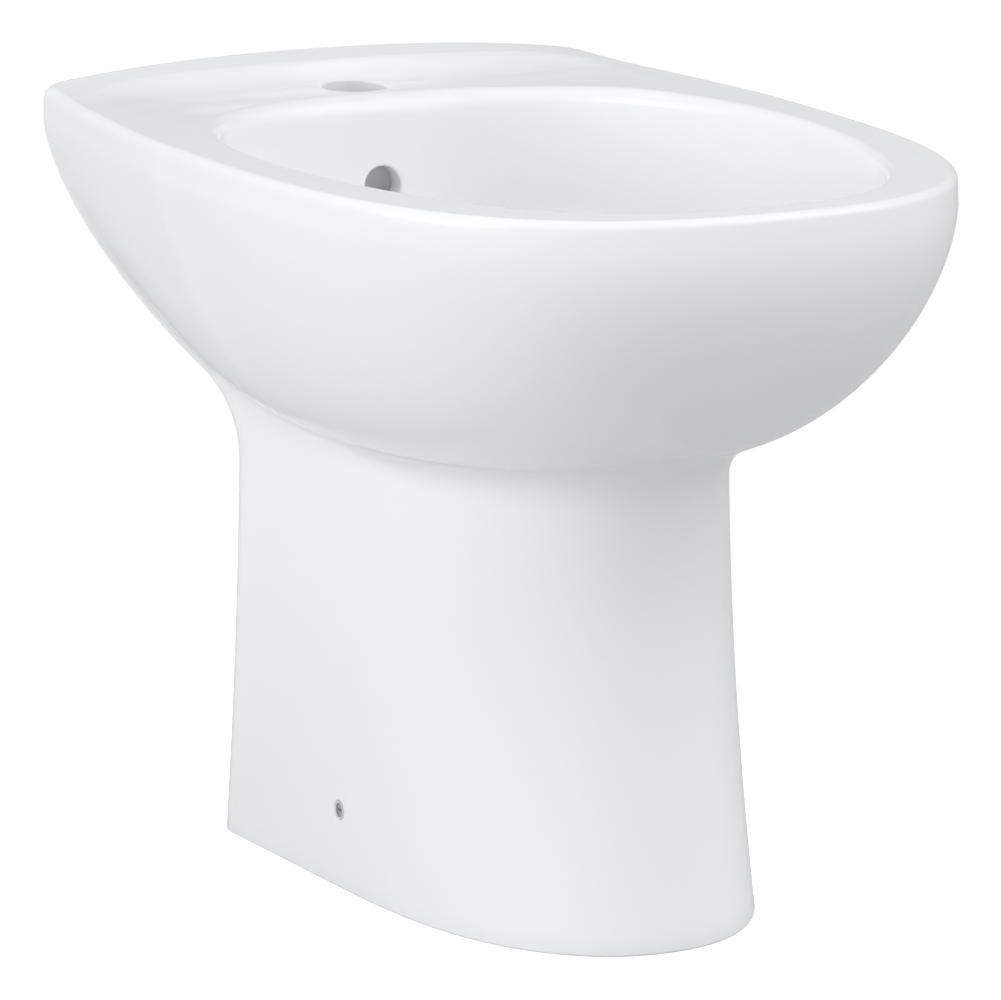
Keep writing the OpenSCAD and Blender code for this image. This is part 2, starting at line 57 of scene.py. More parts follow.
def aimCamera(view):
    # back = the direction from the aim point to the camera, worked out from turn and lift
    turn, lift = math.radians(view["turn"]), math.radians(view["lift"])
    level = math.cos(lift)
    back = Vector((-math.sin(turn) * level, -math.cos(turn) * level, math.sin(lift)))
    side = Vector((math.cos(turn), -math.sin(turn), 0))
    place = Vector((0, 0, view["aimHeight"])) + side * view["aimAlong"] + back * view["distance"]
    data = bpy.data.cameras.new("photoCamera")
    data.sensor_width = view["sensor"]
    data.lens = view["focalPixels"] * view["sensor"] / view["pictureWidth"]
    data.clip_end = view["farthest"]
    camera = bpy.data.objects.new("photoCamera", data)
    scene.collection.objects.link(camera)
    facing = back.to_track_quat("Z", "Y").to_matrix().to_4x4()
    camera.matrix_world = Matrix.Translation(place) @ facing
    scene.camera = camera


aimCamera(cameraView)
print("camera placed")

# The ceramic body
# All lengths in this dictionary are millimetres. A list of four holds the value at the middle
# of the rear, the rear corner, the side and the front tip.
body = {
    "width": 360, "length": 530, "rim": 389.5, "ledgeRise": 11.2, "neck": 241, "wall": 11,
    "neckLine": dict(front=-134.5, widest=-9.5, rear=130.5, half=97.5, narrow=0, corner=26,
                     across=2.13, along=2.16, narrowPow=1, widen=0.0012),
    "footLine": dict(front=-166.5, widest=23, rear=150.5, half=101.5, narrow=0, corner=13,
                     across=2.12, along=3.06, narrowPow=1, widen=0.0006),
    "openHalf": 148.5, "openFront": 239, "openRear": 172.5, "openWidest": -7,
    "openFrontPow": (2.85, 1.8), "openRearPow": (2.8, 1.87),
    "bowlFloor": 256, "wasteY": 15, "bowlAcross": (2.65, 4.5), "bowlUp": (2.4, 2.6),
    "bowlBlend": (0.1, 0.8),        # the two powers of the front give way to those of the rear
    "bellyAcross": (1.4, 1.12, 2.35, 1.22), "bellyUp": (2.0, 1.6, 1.23, 1.9),
    "neckFillet": (40, 32, 16, 22), "leanIn": (0, 0.25, 0.5, 0.5), "upright": 373.5, "flare": 1.6,
    "edge": (4.5, 9, 5, 4.5), "innerEdge": (12, 8, 5, 5), "footEdge": 1.5,
    "filletShare": 0.6,             # the most of the belly's reach that the fillet takes
    "leastCorner": 3,               # least corner radius inside the pedestal's wall
    "bowlStop": 86, "ceilingStop": 0.8,   # where the last rings lie before the two poles
    "tapFromWall": 58, "tapHole": 35,
    "deckDip": 2.5, "deckTilt": 0.035, "dipFrom": 110, "dipRun": 70, "dipHalf": 150,
    "ledgeHalf": 168, "ledgePow": 2.8, "ledgeSlope": 0.11, "slopePow": 4,
    "ledgeDepth": 31, "ledgeFrom": 150,
    "ledgeEnd": (122, 39, 20),      # where the front edge starts to swing, over how far, how much
    "ledgeFace": (10, 24, 45),      # the face's least width, more in the middle, its spread
    "ledgeSteep": 0.8, "ledgeRound": 0.22, "leastRound": 0.2,
    "overflowHole": 21, "overflowHeight": 337.5, "wasteHole": 46,
    "sideHole": 10, "sideHoleHeight": 41.5,
    "deckThick": 15, "ceilingDrop": 14, "ceilingEdge": 12,
}
body["rimLine"] = dict(front=-body["length"] / 2, widest=60, rear=body["length"] / 2,
                       half=body["width"] / 2, narrow=20.5, corner=9, across=2.57, along=3.13,
                       narrowPow=1.3, widen=0)
loopStations = dict(rear=5, corner=10, side=17, front=29)   # where each stretch of an outline ends
# rings in each surface, then how finely lengths are measured before the rings are spaced
meshDensity = dict(loop=150, bowl=44, innerEdge=9, top=64, edge=9, belly=64, fillet=22, stem=22,
                   footEdge=4, inside=14, ceilingEdge=5, ceiling=5, steps=400, every=17, along=6000)
glazed, biscuit = 0, 1   # material places on the body


def halfWidth(line, y):
    # half width, growing by widen per mm, less a power curve towards the rear
    tail = np.maximum(0, (y - line["widest"]) / (line["rear"] - line["widest"]))
    full = line["half"] * (1 + line["widen"] * (y - line["widest"]))
    return full - line["narrow"] * tail ** line["narrowPow"]


def outlinePoint(line, c):
    # a straight rear edge, a round corner, a long side and a superellipse front, by station c
    st = loopStations
    rearX = (halfWidth(line, line["rear"]) - line["corner"]) * c / st["rear"]
    turn = np.radians(90 * np.clip((c - st["rear"]) / (st["corner"] - st["rear"]), 0, 1))
    cornerY = line["rear"] - line["corner"] * (1 - np.cos(turn))
    cornerX = halfWidth(line, cornerY) - line["corner"] * (1 - np.sin(turn))
    along = np.clip((c - st["corner"]) / (st["side"] - st["corner"]), 0, 1)
    run = line["rear"] - line["corner"] - line["widest"]
    step = (line["widest"] - line["front"]) * np.pi / 2 / (st["front"] - st["side"])
    gain = step / (run / (st["side"] - st["corner"])) - 1
    sideY = line["rear"] - line["corner"] - run * (along + gain * along * (along - 1))
    sideX = halfWidth(line, sideY)
    bow = np.sin(np.pi / 2 * np.clip((c - st["side"]) / (st["front"] - st["side"]), 0, 1))
    frontY = line["widest"] - (line["widest"] - line["front"]) * bow
    frontX = line["half"] * (1 + line["widen"] * (frontY - line["widest"])) \
        * np.maximum(1 - bow ** line["along"], 0) ** (1 / line["across"])
    pick = [c < st["rear"], c < st["corner"], c < st["side"]]
    x = np.select(pick, [rearX, cornerX, sideX], frontX)
    y = np.select(pick, [np.full_like(c, line["rear"]), cornerY, sideY], frontY)
    return np.stack([x, y], -1)


def openingPoint(c):
    # two superellipse halves that meet at the opening's widest line
    st = loopStations
    a = np.radians(90 * np.clip((c - st["side"]) / (st["front"] - st["side"]), 0, 1))
    b = np.radians(90 * np.clip(1 - c / st["side"], 0, 1))
    (fx, fy), (rx, ry) = body["openFrontPow"], body["openRearPow"]
    half, mid = body["openHalf"], body["openWidest"]
    front = np.stack([half * np.maximum(np.cos(a), 0) ** (2 / fx),
                      mid - (body["openFront"] + mid) * np.sin(a) ** (2 / fy)], -1)
    rear = np.stack([half * np.maximum(np.cos(b), 0) ** (2 / rx),
                     mid + (body["openRear"] - mid) * np.sin(b) ** (2 / ry)], -1)
    return np.where((c >= st["side"])[..., None], front, rear)


def aroundBody(values, c):
    # the four values blended by smoothstep between the stations
    st = loopStations
    u = np.interp(c, [0, st["rear"], st["corner"], st["side"], st["front"]], [0, 1, 1, 2, 3])
    k = np.minimum(2, np.floor(u)).astype(int)
    f = u - k
    s = f * f * (3 - 2 * f)
    v = np.array(values, float)
    return v[k] * (1 - s) + v[k + 1] * s


def smooth01(v):
    # three squares less two cubes, between nought and one
    v = np.clip(v, 0, 1)
    return v * v * (3 - 2 * v)


def topHeight(x, y):
    # the deck is the rim's height less a smooth dip round the tap. The ledge's top falls off by a
    # power of x and slopes down from the wall. The face between them climbs as a square, and
    # the lower of face and top is taken, with the corner between them rounded
    half = body["length"] / 2
    tapY = half - body["tapFromWall"]
    across = np.minimum(1, np.abs(x) / body["ledgeHalf"])
    dip = smooth01((y - body["dipFrom"]) / body["dipRun"]) \
        * (1 - np.minimum(1, np.abs(x) / body["dipHalf"]) ** 2)
    deck = body["rim"] - dip * (body["deckDip"] + body["deckTilt"] * np.maximum(0, tapY - y))

    def ledge(at):
        return body["rim"] + body["ledgeRise"] * (1 - across ** body["ledgePow"]) \
            - body["ledgeSlope"] * (1 - across ** body["slopePow"]) * (half - at)

    outer, over, swing = body["ledgeEnd"]
    least, more, spread = body["ledgeFace"]
    front = half - body["ledgeDepth"] - swing * smooth01((np.abs(x) - outer) / over)
    width = least + more * (1 - np.exp(-(x / spread) ** 2))
    rise = ledge(front) - deck
    up = np.maximum(0, 1 - (front - y) / width)
    slope = deck + rise * np.minimum(1, up * up) + body["ledgeSteep"] * np.maximum(0, y - front)
    soft = np.maximum(body["leastRound"], body["ledgeRound"] * rise)
    gap = np.maximum(soft - np.abs(ledge(y) - slope), 0)
    raised = np.minimum(ledge(y), slope) - gap * gap / (4 * soft)
    return np.where(y < body["ledgeFrom"], deck, np.maximum(deck, raised))


def onTop(xy):
    # plan points lifted onto the deck and ledge
    return np.concatenate([xy, topHeight(xy[..., 0], xy[..., 1])[..., None]], -1)


def atHeight(xy, z):
    # plan points lifted to one height or to one height each
    z = np.broadcast_to(z, xy.shape[:-1])
    return np.concatenate([xy, z[..., None]], -1)


def lerp(a, b, s):
    return a + (b - a) * s


def unit(v):
    return v / np.maximum(1e-9, np.linalg.norm(v, axis=-1, keepdims=True))


def bodyCurves(c):
    # every outline, direction and power that the surfaces need at the stations c
    rim, neck = outlinePoint(body["rimLine"], c), outlinePoint(body["neckLine"], c)
    reach = np.linalg.norm(rim - neck, axis=-1)
    m, n = aroundBody(body["bellyAcross"], c), aroundBody(body["bellyUp"], c)
    fillet = aroundBody(body["neckFillet"], c)
    start = np.arcsin(np.minimum(body["filletShare"], fillet / reach) ** (m / 2))
    return dict(c=c, rim=rim, neck=neck, hole=openingPoint(c), reach=reach, m=m, n=n,
                fillet=fillet, start=start, out=unit(rim - neck))


def towardWaste(xy, d):
    # plan points moved by d along the line to the waste
    return xy + unit(np.array([0, body["wasteY"]]) - xy) * np.asarray(d)[..., None]


def bellyPoint(k, s):
    # out = sin(a)^(2/m), up = 1 - cos(a)^(2/n), from the neck to the upright rim
    a = lerp(k["start"], np.pi / 2, s)
    out = k["reach"] * np.sin(a) ** (2 / k["m"])
    up = (body["upright"] - body["neck"]) * (1 - np.maximum(np.cos(a), 0) ** (2 / k["n"]))
    return atHeight(k["neck"] + k["out"] * out[:, None], body["neck"] + up)


def creaseHeight(k):
    # height at which the belly's first tangent meets the pedestal
    a, m, n = k["start"], k["m"], k["n"]
    run = k["reach"] * 2 / m * np.sin(a) ** (2 / m - 1) * np.cos(a)
    climb = (body["upright"] - body["neck"]) * 2 / n * np.cos(a) ** (2 / n - 1) * np.sin(a)
    return bellyPoint(k, 0)[:, 2] - k["reach"] * np.sin(a) ** (2 / m) * climb / run


def stemPoint(k, z, depth=0):
    # neck outline spreading to the foot outline by a power of the height, set in by depth
    neck, foot = body["neckLine"], body["footLine"]
    if depth:
        neck, foot = (dict(o, front=o["front"] + depth, rear=o["rear"] - depth,
                           half=o["half"] - depth,
                           corner=max(body["leastCorner"], o["corner"] - depth))
                      for o in (neck, foot))
    spread = np.clip(1 - np.asarray(z, float) / body["neck"], 0, 1) ** body["flare"]
    spread = np.broadcast_to(spread, k["c"].shape)[:, None]
    return lerp(outlinePoint(neck, k["c"]), outlinePoint(foot, k["c"]), spread)


def filletLow(k):
    # height at which the fillet leaves the pedestal
    return creaseHeight(k) - np.minimum(k["fillet"], body["filletShare"] * k["reach"])


def filletPoint(k, s):
    # a quadratic curve from the pedestal to the belly through their crease
    low, crease, high = filletLow(k), creaseHeight(k), bellyPoint(k, 0)[:, 2]
    z = lerp(lerp(low, crease, s), lerp(crease, high, s), s)
    out = k["reach"] * np.sin(k["start"]) ** (2 / k["m"]) * s * s
    return atHeight(stemPoint(k, z) + k["out"] * out[:, None], z)


def rimEdgePoint(k, a):
    # a quarter round from the upright wall onto the top
    d = aroundBody(body["leanIn"], k["c"])
    edge = aroundBody(body["edge"], k["c"])
    top = k["rim"] - k["out"] * (d + edge)[:, None]
    z = topHeight(top[:, 0], top[:, 1]) - edge
    inward = (d + edge * (1 - np.cos(a)))[:, None]
    return atHeight(k["rim"] - k["out"] * inward, z + edge * np.sin(a))


def innerStart(k):
    # the opening's outline moved out by the radius of its edge
    return towardWaste(k["hole"], -aroundBody(body["innerEdge"], k["c"]))


def topPoint(k, s):
    # a straight line in plan from the outer edge to the inner one, laid on the top
    outer = rimEdgePoint(k, np.pi / 2)[:, :2]
    return onTop(lerp(outer, innerStart(k), s))


def innerEdgePoint(k, a):
    # a quarter round from the top down into the bowl
    r = aroundBody(body["innerEdge"], k["c"])
    start = innerStart(k)
    z = topHeight(start[:, 0], start[:, 1])
    return atHeight(towardWaste(k["hole"], -r * (1 - np.sin(a))), z - r * (1 - np.cos(a)))


def bowlPowers(xy):
    # the two powers blend from the front's to the rear's by the direction from the waste
    away = xy - np.array([0, body["wasteY"]])
    begin, over = body["bowlBlend"]
    rearward = away[:, 1] / np.maximum(1, np.linalg.norm(away, axis=-1))
    rearward = smooth01((rearward - begin) / over)
    return lerp(body["bowlAcross"][0], body["bowlAcross"][1], rearward), \
        lerp(body["bowlUp"][0], body["bowlUp"][1], rearward)


def bowlPoint(k, a):
    # in = cos(a)^(2/p), down = 1 - sin(a)^(2/q), from the edge to the waste
    edge = innerEdgePoint(k, np.pi / 2)
    across, up = bowlPowers(edge[:, :2])
    inward = np.maximum(np.cos(a), 0) ** (2 / across)
    height = 1 - np.sin(a) ** (2 / up)
    waste = np.array([0, body["wasteY"]])
    return atHeight(lerp(waste, edge[:, :2], inward[:, None]),
                    body["bowlFloor"] + (edge[:, 2] - body["bowlFloor"]) * height)


def evenSteps(surface, k, low, high, count):
    # parameters that leave rings at an even spacing, measured on a few stations
    dense = np.linspace(low, high, meshDensity["steps"])
    some = {key: value[::meshDensity["every"]] for key, value in k.items()}
    points = np.stack([surface(some, t) for t in dense])
    length = np.linalg.norm(np.diff(points, axis=0), axis=-1).mean(1)
    total = np.concatenate([[0], np.cumsum(length)])
    return np.interp(np.linspace(0, total[-1], count), total, dense)


def evenStations(count):
    # stations round half the body, closer where the outlines bend
    c = np.linspace(0, loopStations["front"], meshDensity["along"])
    share = 0.25   # the stations and the three curves weigh the same
    measure = c / loopStations["front"] * share
    curves = outlinePoint(body["rimLine"], c), outlinePoint(body["neckLine"], c), openingPoint(c)
    for curve in curves:
        length = np.concatenate([[0], np.cumsum(np.linalg.norm(np.diff(curve, axis=0), axis=-1))])
        measure = measure + share * length / length[-1]
    stations = np.interp(np.linspace(0, 1, count), measure, c)
    for exact in loopStations.values():
        stations[np.argmin(np.abs(stations - exact))] = exact
    return stations


def bodyRings():
    # rings from the waste up the bowl, over the rim, down the outside and up inside the pedestal
    k = bodyCurves(evenStations(meshDensity["loop"]))
    quarter, count = np.pi / 2, meshDensity
    ceiling = body["bowlFloor"] - body["ceilingDrop"]
    low, foot = filletLow(k), body["footEdge"]

    def stemOut(some, s):
        # the pedestal's outside, straight in height from its edge to the fillet
        z = foot + (np.interp(some["c"], k["c"], low) - foot) * s
        return atHeight(stemPoint(some, z), z)

    def footEdge(some, a):
        # a quarter round from the outside onto the floor
        edge = stemPoint(some, foot)
        inward = unit(edge) * foot * (1 - np.cos(a))
        return atHeight(edge - inward, foot * (1 - np.sin(a)))

    def stemIn(some, s):
        # the pedestal's inside, one wall thickness in
        z = (ceiling - body["ceilingEdge"]) * s
        return atHeight(stemPoint(some, z, body["wall"]), z)

    def ceilingEdge(some, a):
        # a quarter round from the inside onto the ceiling below the bowl
        base = stemPoint(some, ceiling - body["ceilingEdge"], body["wall"])
        r = body["ceilingEdge"]
        inward = np.full(len(base), r * (1 - np.cos(a)))
        return atHeight(towardWaste(base, inward), ceiling - r * (1 - np.sin(a)))

    def ceilingFlat(some, s):
        # a flat sheet toward the pole
        edge = ceilingEdge(some, quarter)[:, :2]
        return atHeight(lerp(edge, np.array([0, body["wasteY"]]), s), ceiling)

    # each surface with its first and last parameter and its number of rings
    plan = [(bowlPoint, math.radians(body["bowlStop"]), 0, count["bowl"]),
            (innerEdgePoint, quarter, 0, count["innerEdge"]), (topPoint, 1, 0, count["top"]),
            (rimEdgePoint, quarter, 0, count["edge"]), (bellyPoint, 1, 0, count["belly"]),
            (filletPoint, 1, 0, count["fillet"]), (stemOut, 1, 0, count["stem"]),
            (footEdge, 0, quarter, count["footEdge"]), (stemIn, 0, 1, count["inside"]),
            (ceilingEdge, 0, quarter, count["ceilingEdge"]),
            (ceilingFlat, 0, body["ceilingStop"], count["ceiling"])]
    rings, insideFrom = [], 0
    for surface, first, last, number in plan:
        insideFrom = len(rings) if surface is stemIn else insideFrom
        steps = evenSteps(surface, k, first, last, number)
        steps = steps if surface in (stemIn, bowlPoint, bellyPoint) else steps[1:]
        rings += [surface(k, s) for s in steps]
    return np.array(rings), insideFrom


def closedSkin(rings, poles, insideFrom):
    # half rings are mirrored to whole ones and closed by a pole at each end; the inside of the
    # pedestal takes the second material
    mirrored = rings[:, -2:0:-1] * np.array([-1, 1, 1])
    loops = np.concatenate([rings, mirrored], 1)
    loops[:, 0, 0] = 0
    loops[:, rings.shape[1] - 1, 0] = 0
    nRing, nLoop = loops.shape[:2]
    points = np.concatenate([loops.reshape(-1, 3), poles]) / 1000
    j = np.arange(nLoop)
    r = np.arange(nRing - 1)[:, None] * nLoop
    a, b = r + j, r + (j + 1) % nLoop
    quads = np.stack([a, b, b + nLoop, a + nLoop], -1).reshape(-1, 4)
    last = (nRing - 1) * nLoop
    first = np.stack([np.full(nLoop, nRing * nLoop), (j + 1) % nLoop, j], -1)
    end = np.stack([np.full(nLoop, nRing * nLoop + 1), last + j, last + (j + 1) % nLoop], -1)
    mesh = bpy.data.meshes.new("ceramicSkin")
    mesh.from_pydata(points.tolist(), [], quads.tolist() + first.tolist() + end.tolist())
    place = np.full(len(mesh.polygons), glazed, np.int32)
    place[(insideFrom - 1) * nLoop:len(quads)] = biscuit
    place[-nLoop:] = biscuit
    mesh.polygons.foreach_set("material_index", place)
    return mesh


def addPiece(name, mesh):
    piece = bpy.data.objects.new(name, mesh)
    scene.collection.objects.link(piece)
    return piece


rings, insideFrom = bodyRings()
poles = np.array([[0, body["wasteY"], body["bowlFloor"]],
                  [0, body["wasteY"], body["bowlFloor"] - body["ceilingDrop"]]])
skin = closedSkin(rings, poles, insideFrom)
ceramic = addPiece("glazedBody", skin)
print("ceramic skin", len(skin.polygons), "faces")

# Openings in the ceramic
# Millimetres again. The flare is the soft round edge that glaze leaves on a hole. Names with cut,
# past, into and over say how far a tool reaches beyond what it shapes.
openings = {
    "tapFlare": 1.8, "overflowFlare": 1.6, "sideFlare": 1.0,
    "flareTurn": 76, "flareSteps": 9, "flareRun": 4, "mouthHeight": 12,
    "fitRing": 9, "fitDepth": 0.5,                              # skin looked at round a hole
    "tapPast": 3, "overflowIn": 5, "overflowDepth": 16, "sideFace": 100.8, "sideDepth": 22,
    "bossRadius": 36, "bossDrop": 32, "bossRound": 3, "bossInto": 8, "bossHeart": 0.5,
    "recessDepth": 2, "recessRadius": 33, "recessCut": 8, "wasteBelow": 2, "wasteCut": 40,
    "rearHalf": 80, "rearTop": 330, "rearBeam": 12, "cornerRound": 7, "roundSteps": 4,
    "past": 20, "pastWall": 40, "rearWall": 11, "rearWallFoot": 60,
    "spaceRoof": ((100, -4), (138, -2), (163, 7), (180, 27)),   # along, above the ceiling
    "beamFace": ((12, 366), (24, 338), (29, 330)),              # in from the wall, height
    "sideSpaceHalf": 118, "sideSpaceIn": 10, "sideSpaceEnd": 362,
    "sideSpaceFloor": ((205, 300), (221, 318), (243, 345)),
    "ductHalf": 20, "ductRound": 4, "ductTop": 350.5, "ductOver": 5,
    "ductWalls": (3, 25),                                       # behind the opening
    "ductFoot": ((25, 8), (17, -7), (-3, -7)),                  # behind it, above the bowl floor
    "ductFrom": (16, 6.0), "ductTo": (20, -20.0), "ductRadius": 7, "ductWallRadius": 11.5,
    "ductInto": 3, "slotHalf": 12, "slotRound": 2, "slot": (10, 18, 6),
    "lathe": 96, "sharpFrom": 32, "mergeWithin": 1e-7,          # the last one in metres
}


def meshFrom(name, points, faces, place=glazed):
    # a piece from points in millimetres, all its faces in one material place
    mesh = bpy.data.meshes.new(name)
    mesh.from_pydata((np.asarray(points) / 1000).tolist(), [], faces)
    mesh.polygons.foreach_set("material_index", np.full(len(mesh.polygons), place, np.int32))
    mesh.update()
    return addPiece(name, mesh)


def turnedSolid(name, profile, centre, axes, lift=None, place=glazed, start=0.37):
    # a profile of (radius, height) carried round an axis; lift raises a point by its own place.
    # start turns the first point by part of a step, so that no two solids share a plane
    number = openings["lathe"]
    profile = np.array(profile, float)
    turn = (np.arange(number) + start) * 2 * np.pi / number
    radius, height = profile[:, 0:1], np.repeat(profile[:, 1:2], number, 1)
    u, v = radius * np.cos(turn), radius * np.sin(turn)
    if lift is not None:
        height = height + lift(u, v) * profile[:, 2:3]
    side, up, out = (np.array(a, float) for a in axes)
    grid = np.array(centre, float) + u[..., None] * side + v[..., None] * up \
        + height[..., None] * out
    j, r = np.arange(number), np.arange(len(profile) - 1)[:, None] * number
    a, b = r + j, r + (j + 1) % number
    quads = np.stack([a, b, b + number, a + number], -1).reshape(-1, 4).tolist()
    caps = [j[::-1].tolist(), (j + (len(profile) - 1) * number).tolist()]
    return meshFrom(name, grid.reshape(-1, 3), quads + caps, place)


def nearSurface(centre, axes, reach):
    # the skin near a hole, fitted as a quadratic height over the hole's own plane
    side, up, out = (np.array(a, float) for a in axes)
    near = rings.reshape(-1, 3)
    near = np.concatenate([near, near * np.array([-1, 1, 1])]) - np.array(centre, float)
    u, v, h = near @ side, near @ up, near @ out
    keep = (u * u + v * v < reach * reach) & (np.abs(h) < reach * openings["fitDepth"])
    u, v, h = u[keep], v[keep], h[keep]
    terms = np.stack([np.ones_like(u), u, v, u * u, u * v, v * v], -1)
    f = np.linalg.lstsq(terms, h, rcond=None)[0]
    return lambda x, y: f[0] + f[1] * x + f[2] * y + f[3] * x * x + f[4] * x * y + f[5] * y * y


def flaredHole(name, centre, axes, radius, flare, depth):
    # a straight hole whose mouth opens in a round edge that meets the skin nearly flush
    o = openings
    surface = nearSurface(centre, axes, radius + o["fitRing"])
    turn = np.radians(np.linspace(0, o["flareTurn"], o["flareSteps"]))
    arc = [(radius + flare * (1 - math.cos(t)), -flare + flare * math.sin(t), 1) for t in turn]
    wide = arc[-1][0] + o["flareRun"] * math.sin(turn[-1])
    high = arc[-1][1] + o["flareRun"] * math.cos(turn[-1])
    profile = [(radius, -depth, 0)] + arc + [(wide, high, 1), (wide, high + o["mouthHeight"], 1)]
    return turnedSolid(name, profile, centre, axes, surface)


def bar(name, outline, half, roundness, place=glazed):
    # an outline in (y, z) carried along X, its edges rounded
    outline = np.array(outline, float)
    n = len(outline)
    both = [np.column_stack([np.full(n, side * half), outline]) for side in (-1.0, 1.0)]
    j = np.arange(n)
    walls = np.stack([j, j + n, (j + 1) % n + n, (j + 1) % n], -1).tolist()
    ends = [j.tolist(), (j[::-1] + n).tolist()]
    piece = meshFrom(name, np.concatenate(both), walls + ends, place)
    fixNormals(piece.data)
    soften = piece.modifiers.new("soften", "BEVEL")
    soften.width, soften.segments = roundness / 1000, openings["roundSteps"]
    soften.limit_method = "ANGLE"
    return piece


def fixNormals(mesh):
    # doubles merged, then all faces turned outwards
    bm = bmesh.new()
    bm.from_mesh(mesh)
    bmesh.ops.remove_doubles(bm, verts=bm.verts, dist=openings["mergeWithin"])
    bmesh.ops.recalc_face_normals(bm, faces=bm.faces)
    bm.to_mesh(mesh)
    bm.free()


def carve(target, tool, operation):
    # the tool is joined to the target or cut from it for good, and then removed
    change = target.modifiers.new(tool.name, "BOOLEAN")
    change.operation, change.object, change.solver = operation, tool, "EXACT"
    change.material_mode = "INDEX"
    bpy.context.view_layer.update()
    graph = bpy.context.evaluated_depsgraph_get()
    shaped = bpy.data.meshes.new_from_object(target.evaluated_get(graph))
    target.modifiers.remove(change)
    old = target.data
    target.data = shaped
    bpy.data.meshes.remove(old)
    bpy.data.objects.remove(tool)


def openTheBody():
    # each tool in turn, with outlines in (along, height)
    o, b = openings, body
    half, floor, waste, rear = b["length"] / 2, b["bowlFloor"], b["wasteY"], b["openRear"]
    ceiling, deckUnder = floor - b["ceilingDrop"], b["rim"] - b["deckDip"] - b["deckThick"]
    behind, beam, past = rear + o["rearWall"], half - o["rearBeam"], o["past"]
    upright = ((1, 0, 0), (0, 1, 0), (0, 0, 1))
    forward = ((1, 0, 0), (0, 0, 1), (0, -1, 0))

    # the pedestal's open back, up to the deck, and the space beside it under the deck
    roof = [(y, ceiling + z) for y, z in o["spaceRoof"]]
    centreSpace = [(roof[0][0], -past)] + roof
    centreSpace += [(behind, ceiling + o["rearWallFoot"]), (behind, deckUnder), (beam, deckUnder)]
    centreSpace += [(half - inset, z) for inset, z in o["beamFace"]]
    centreSpace += [(half + o["pastWall"], o["rearTop"]), (half + o["pastWall"], -past)]
    carve(ceramic, bar("rearSpace", centreSpace, o["rearHalf"], o["cornerRound"], biscuit),
          "DIFFERENCE")
    inner, low = behind + o["sideSpaceIn"], list(o["sideSpaceFloor"])
    sideSpace = [(inner, low[0][1])] + low
    sideSpace += [(beam, o["sideSpaceEnd"]), (beam, deckUnder), (inner, deckUnder)]
    carve(ceramic, bar("sideSpace", sideSpace, o["sideSpaceHalf"], o["cornerRound"], biscuit),
          "DIFFERENCE")

    # the boss round the waste, and the overflow's duct down to it
    r, rounding, bottom = o["bossRadius"], o["bossRound"], floor - o["bossDrop"]
    arc = [(r - rounding + rounding * math.sin(t), bottom + rounding - rounding * math.cos(t))
           for t in np.radians([30, 60, 90])]
    boss = [(o["bossHeart"], bottom), (r - rounding, bottom)] + arc
    boss += [(r, ceiling + o["bossInto"]), (o["bossHeart"], ceiling + o["bossInto"])]
    carve(ceramic, turnedSolid("boss", boss, (0, waste, 0), upright, place=biscuit, start=0.13),
          "UNION")
    ductWalls = [(rear + y, o["ductTop"] + o["ductOver"]) for y in o["ductWalls"]]
    ductWalls += [(rear + y, floor + z) for y, z in o["ductFoot"]]
    carve(ceramic, bar("ductWalls", ductWalls, o["ductHalf"], o["ductRound"], biscuit), "UNION")
    top = np.array([0, rear + o["ductFrom"][0], floor + o["ductFrom"][1]])
    end = np.array([0, waste + o["ductTo"][0], floor + o["ductTo"][1]])
    length = np.linalg.norm(top - end)
    along = (top - end) / length
    slope = ((1, 0, 0), np.cross(along, (1, 0, 0)), along)
    outer, bore = o["ductWallRadius"], o["ductRadius"]
    carve(ceramic, turnedSolid("ductLow", [(outer, 0), (outer, length)], end, slope,
                               place=biscuit), "UNION")
    first, last, foot = o["slot"]
    slot = [(rear + first, o["ductTop"]), (rear + last, o["ductTop"]),
            (rear + last, floor + foot), (rear + first, floor + foot)]
    carve(ceramic, bar("slot", slot, o["slotHalf"], o["slotRound"]), "DIFFERENCE")
    carve(ceramic, turnedSolid("ductBore", [(bore, -bore), (bore, length + o["ductInto"])],
                               end, slope), "DIFFERENCE")

    # the round holes
    hole, recess = b["wasteHole"] / 2, o["recessRadius"]
    carve(ceramic, turnedSolid("wasteBore", [(hole, -o["wasteBelow"]), (hole, o["wasteCut"])],
                               (0, waste, bottom), upright), "DIFFERENCE")
    carve(ceramic, turnedSolid("recess", [(recess, 0), (recess, o["recessCut"])],
                               (0, waste, floor - o["recessDepth"]), upright, start=0.61),
          "DIFFERENCE")
    tapY = half - b["tapFromWall"]
    tapCentre = (0, tapY, float(topHeight(np.array(0.0), np.array(tapY))))
    carve(ceramic, flaredHole("tapHole", tapCentre, upright, b["tapHole"] / 2, o["tapFlare"],
                              b["deckThick"] + o["tapPast"]), "DIFFERENCE")
    carve(ceramic, flaredHole("overflowHole", (0, rear - o["overflowIn"], b["overflowHeight"]),
                              forward, b["overflowHole"] / 2, o["overflowFlare"],
                              o["overflowDepth"]), "DIFFERENCE")
    for side in (-1, 1):
        outward = ((0, side, 0), (0, 0, 1), (side, 0, 0))
        carve(ceramic, flaredHole("sideHole", (side * o["sideFace"], waste, b["sideHoleHeight"]),
                                  outward, b["sideHole"] / 2, o["sideFlare"], o["sideDepth"]),
              "DIFFERENCE")


openTheBody()
print("openings cut", len(ceramic.data.polygons), "faces")

# Finishes
noiseSettings = {"cloudDetail": 2, "grainDetail": 4, "cloudHeight": 0.7}


def newNodes(nodes, *kinds):
    return [nodes.new("ShaderNode" + kind) for kind in kinds]


def newGroup(name, sockets):
    # a shader node group with its named sockets, its input and its output
    group = bpy.data.node_groups.new(name, "ShaderNodeTree")
    for label, kind, way in sockets:
        group.interface.new_socket(name=label, in_out=way, socket_type="NodeSocket" + kind)
    return group, group.nodes.new("NodeGroupInput"), group.nodes.new("NodeGroupOutput")


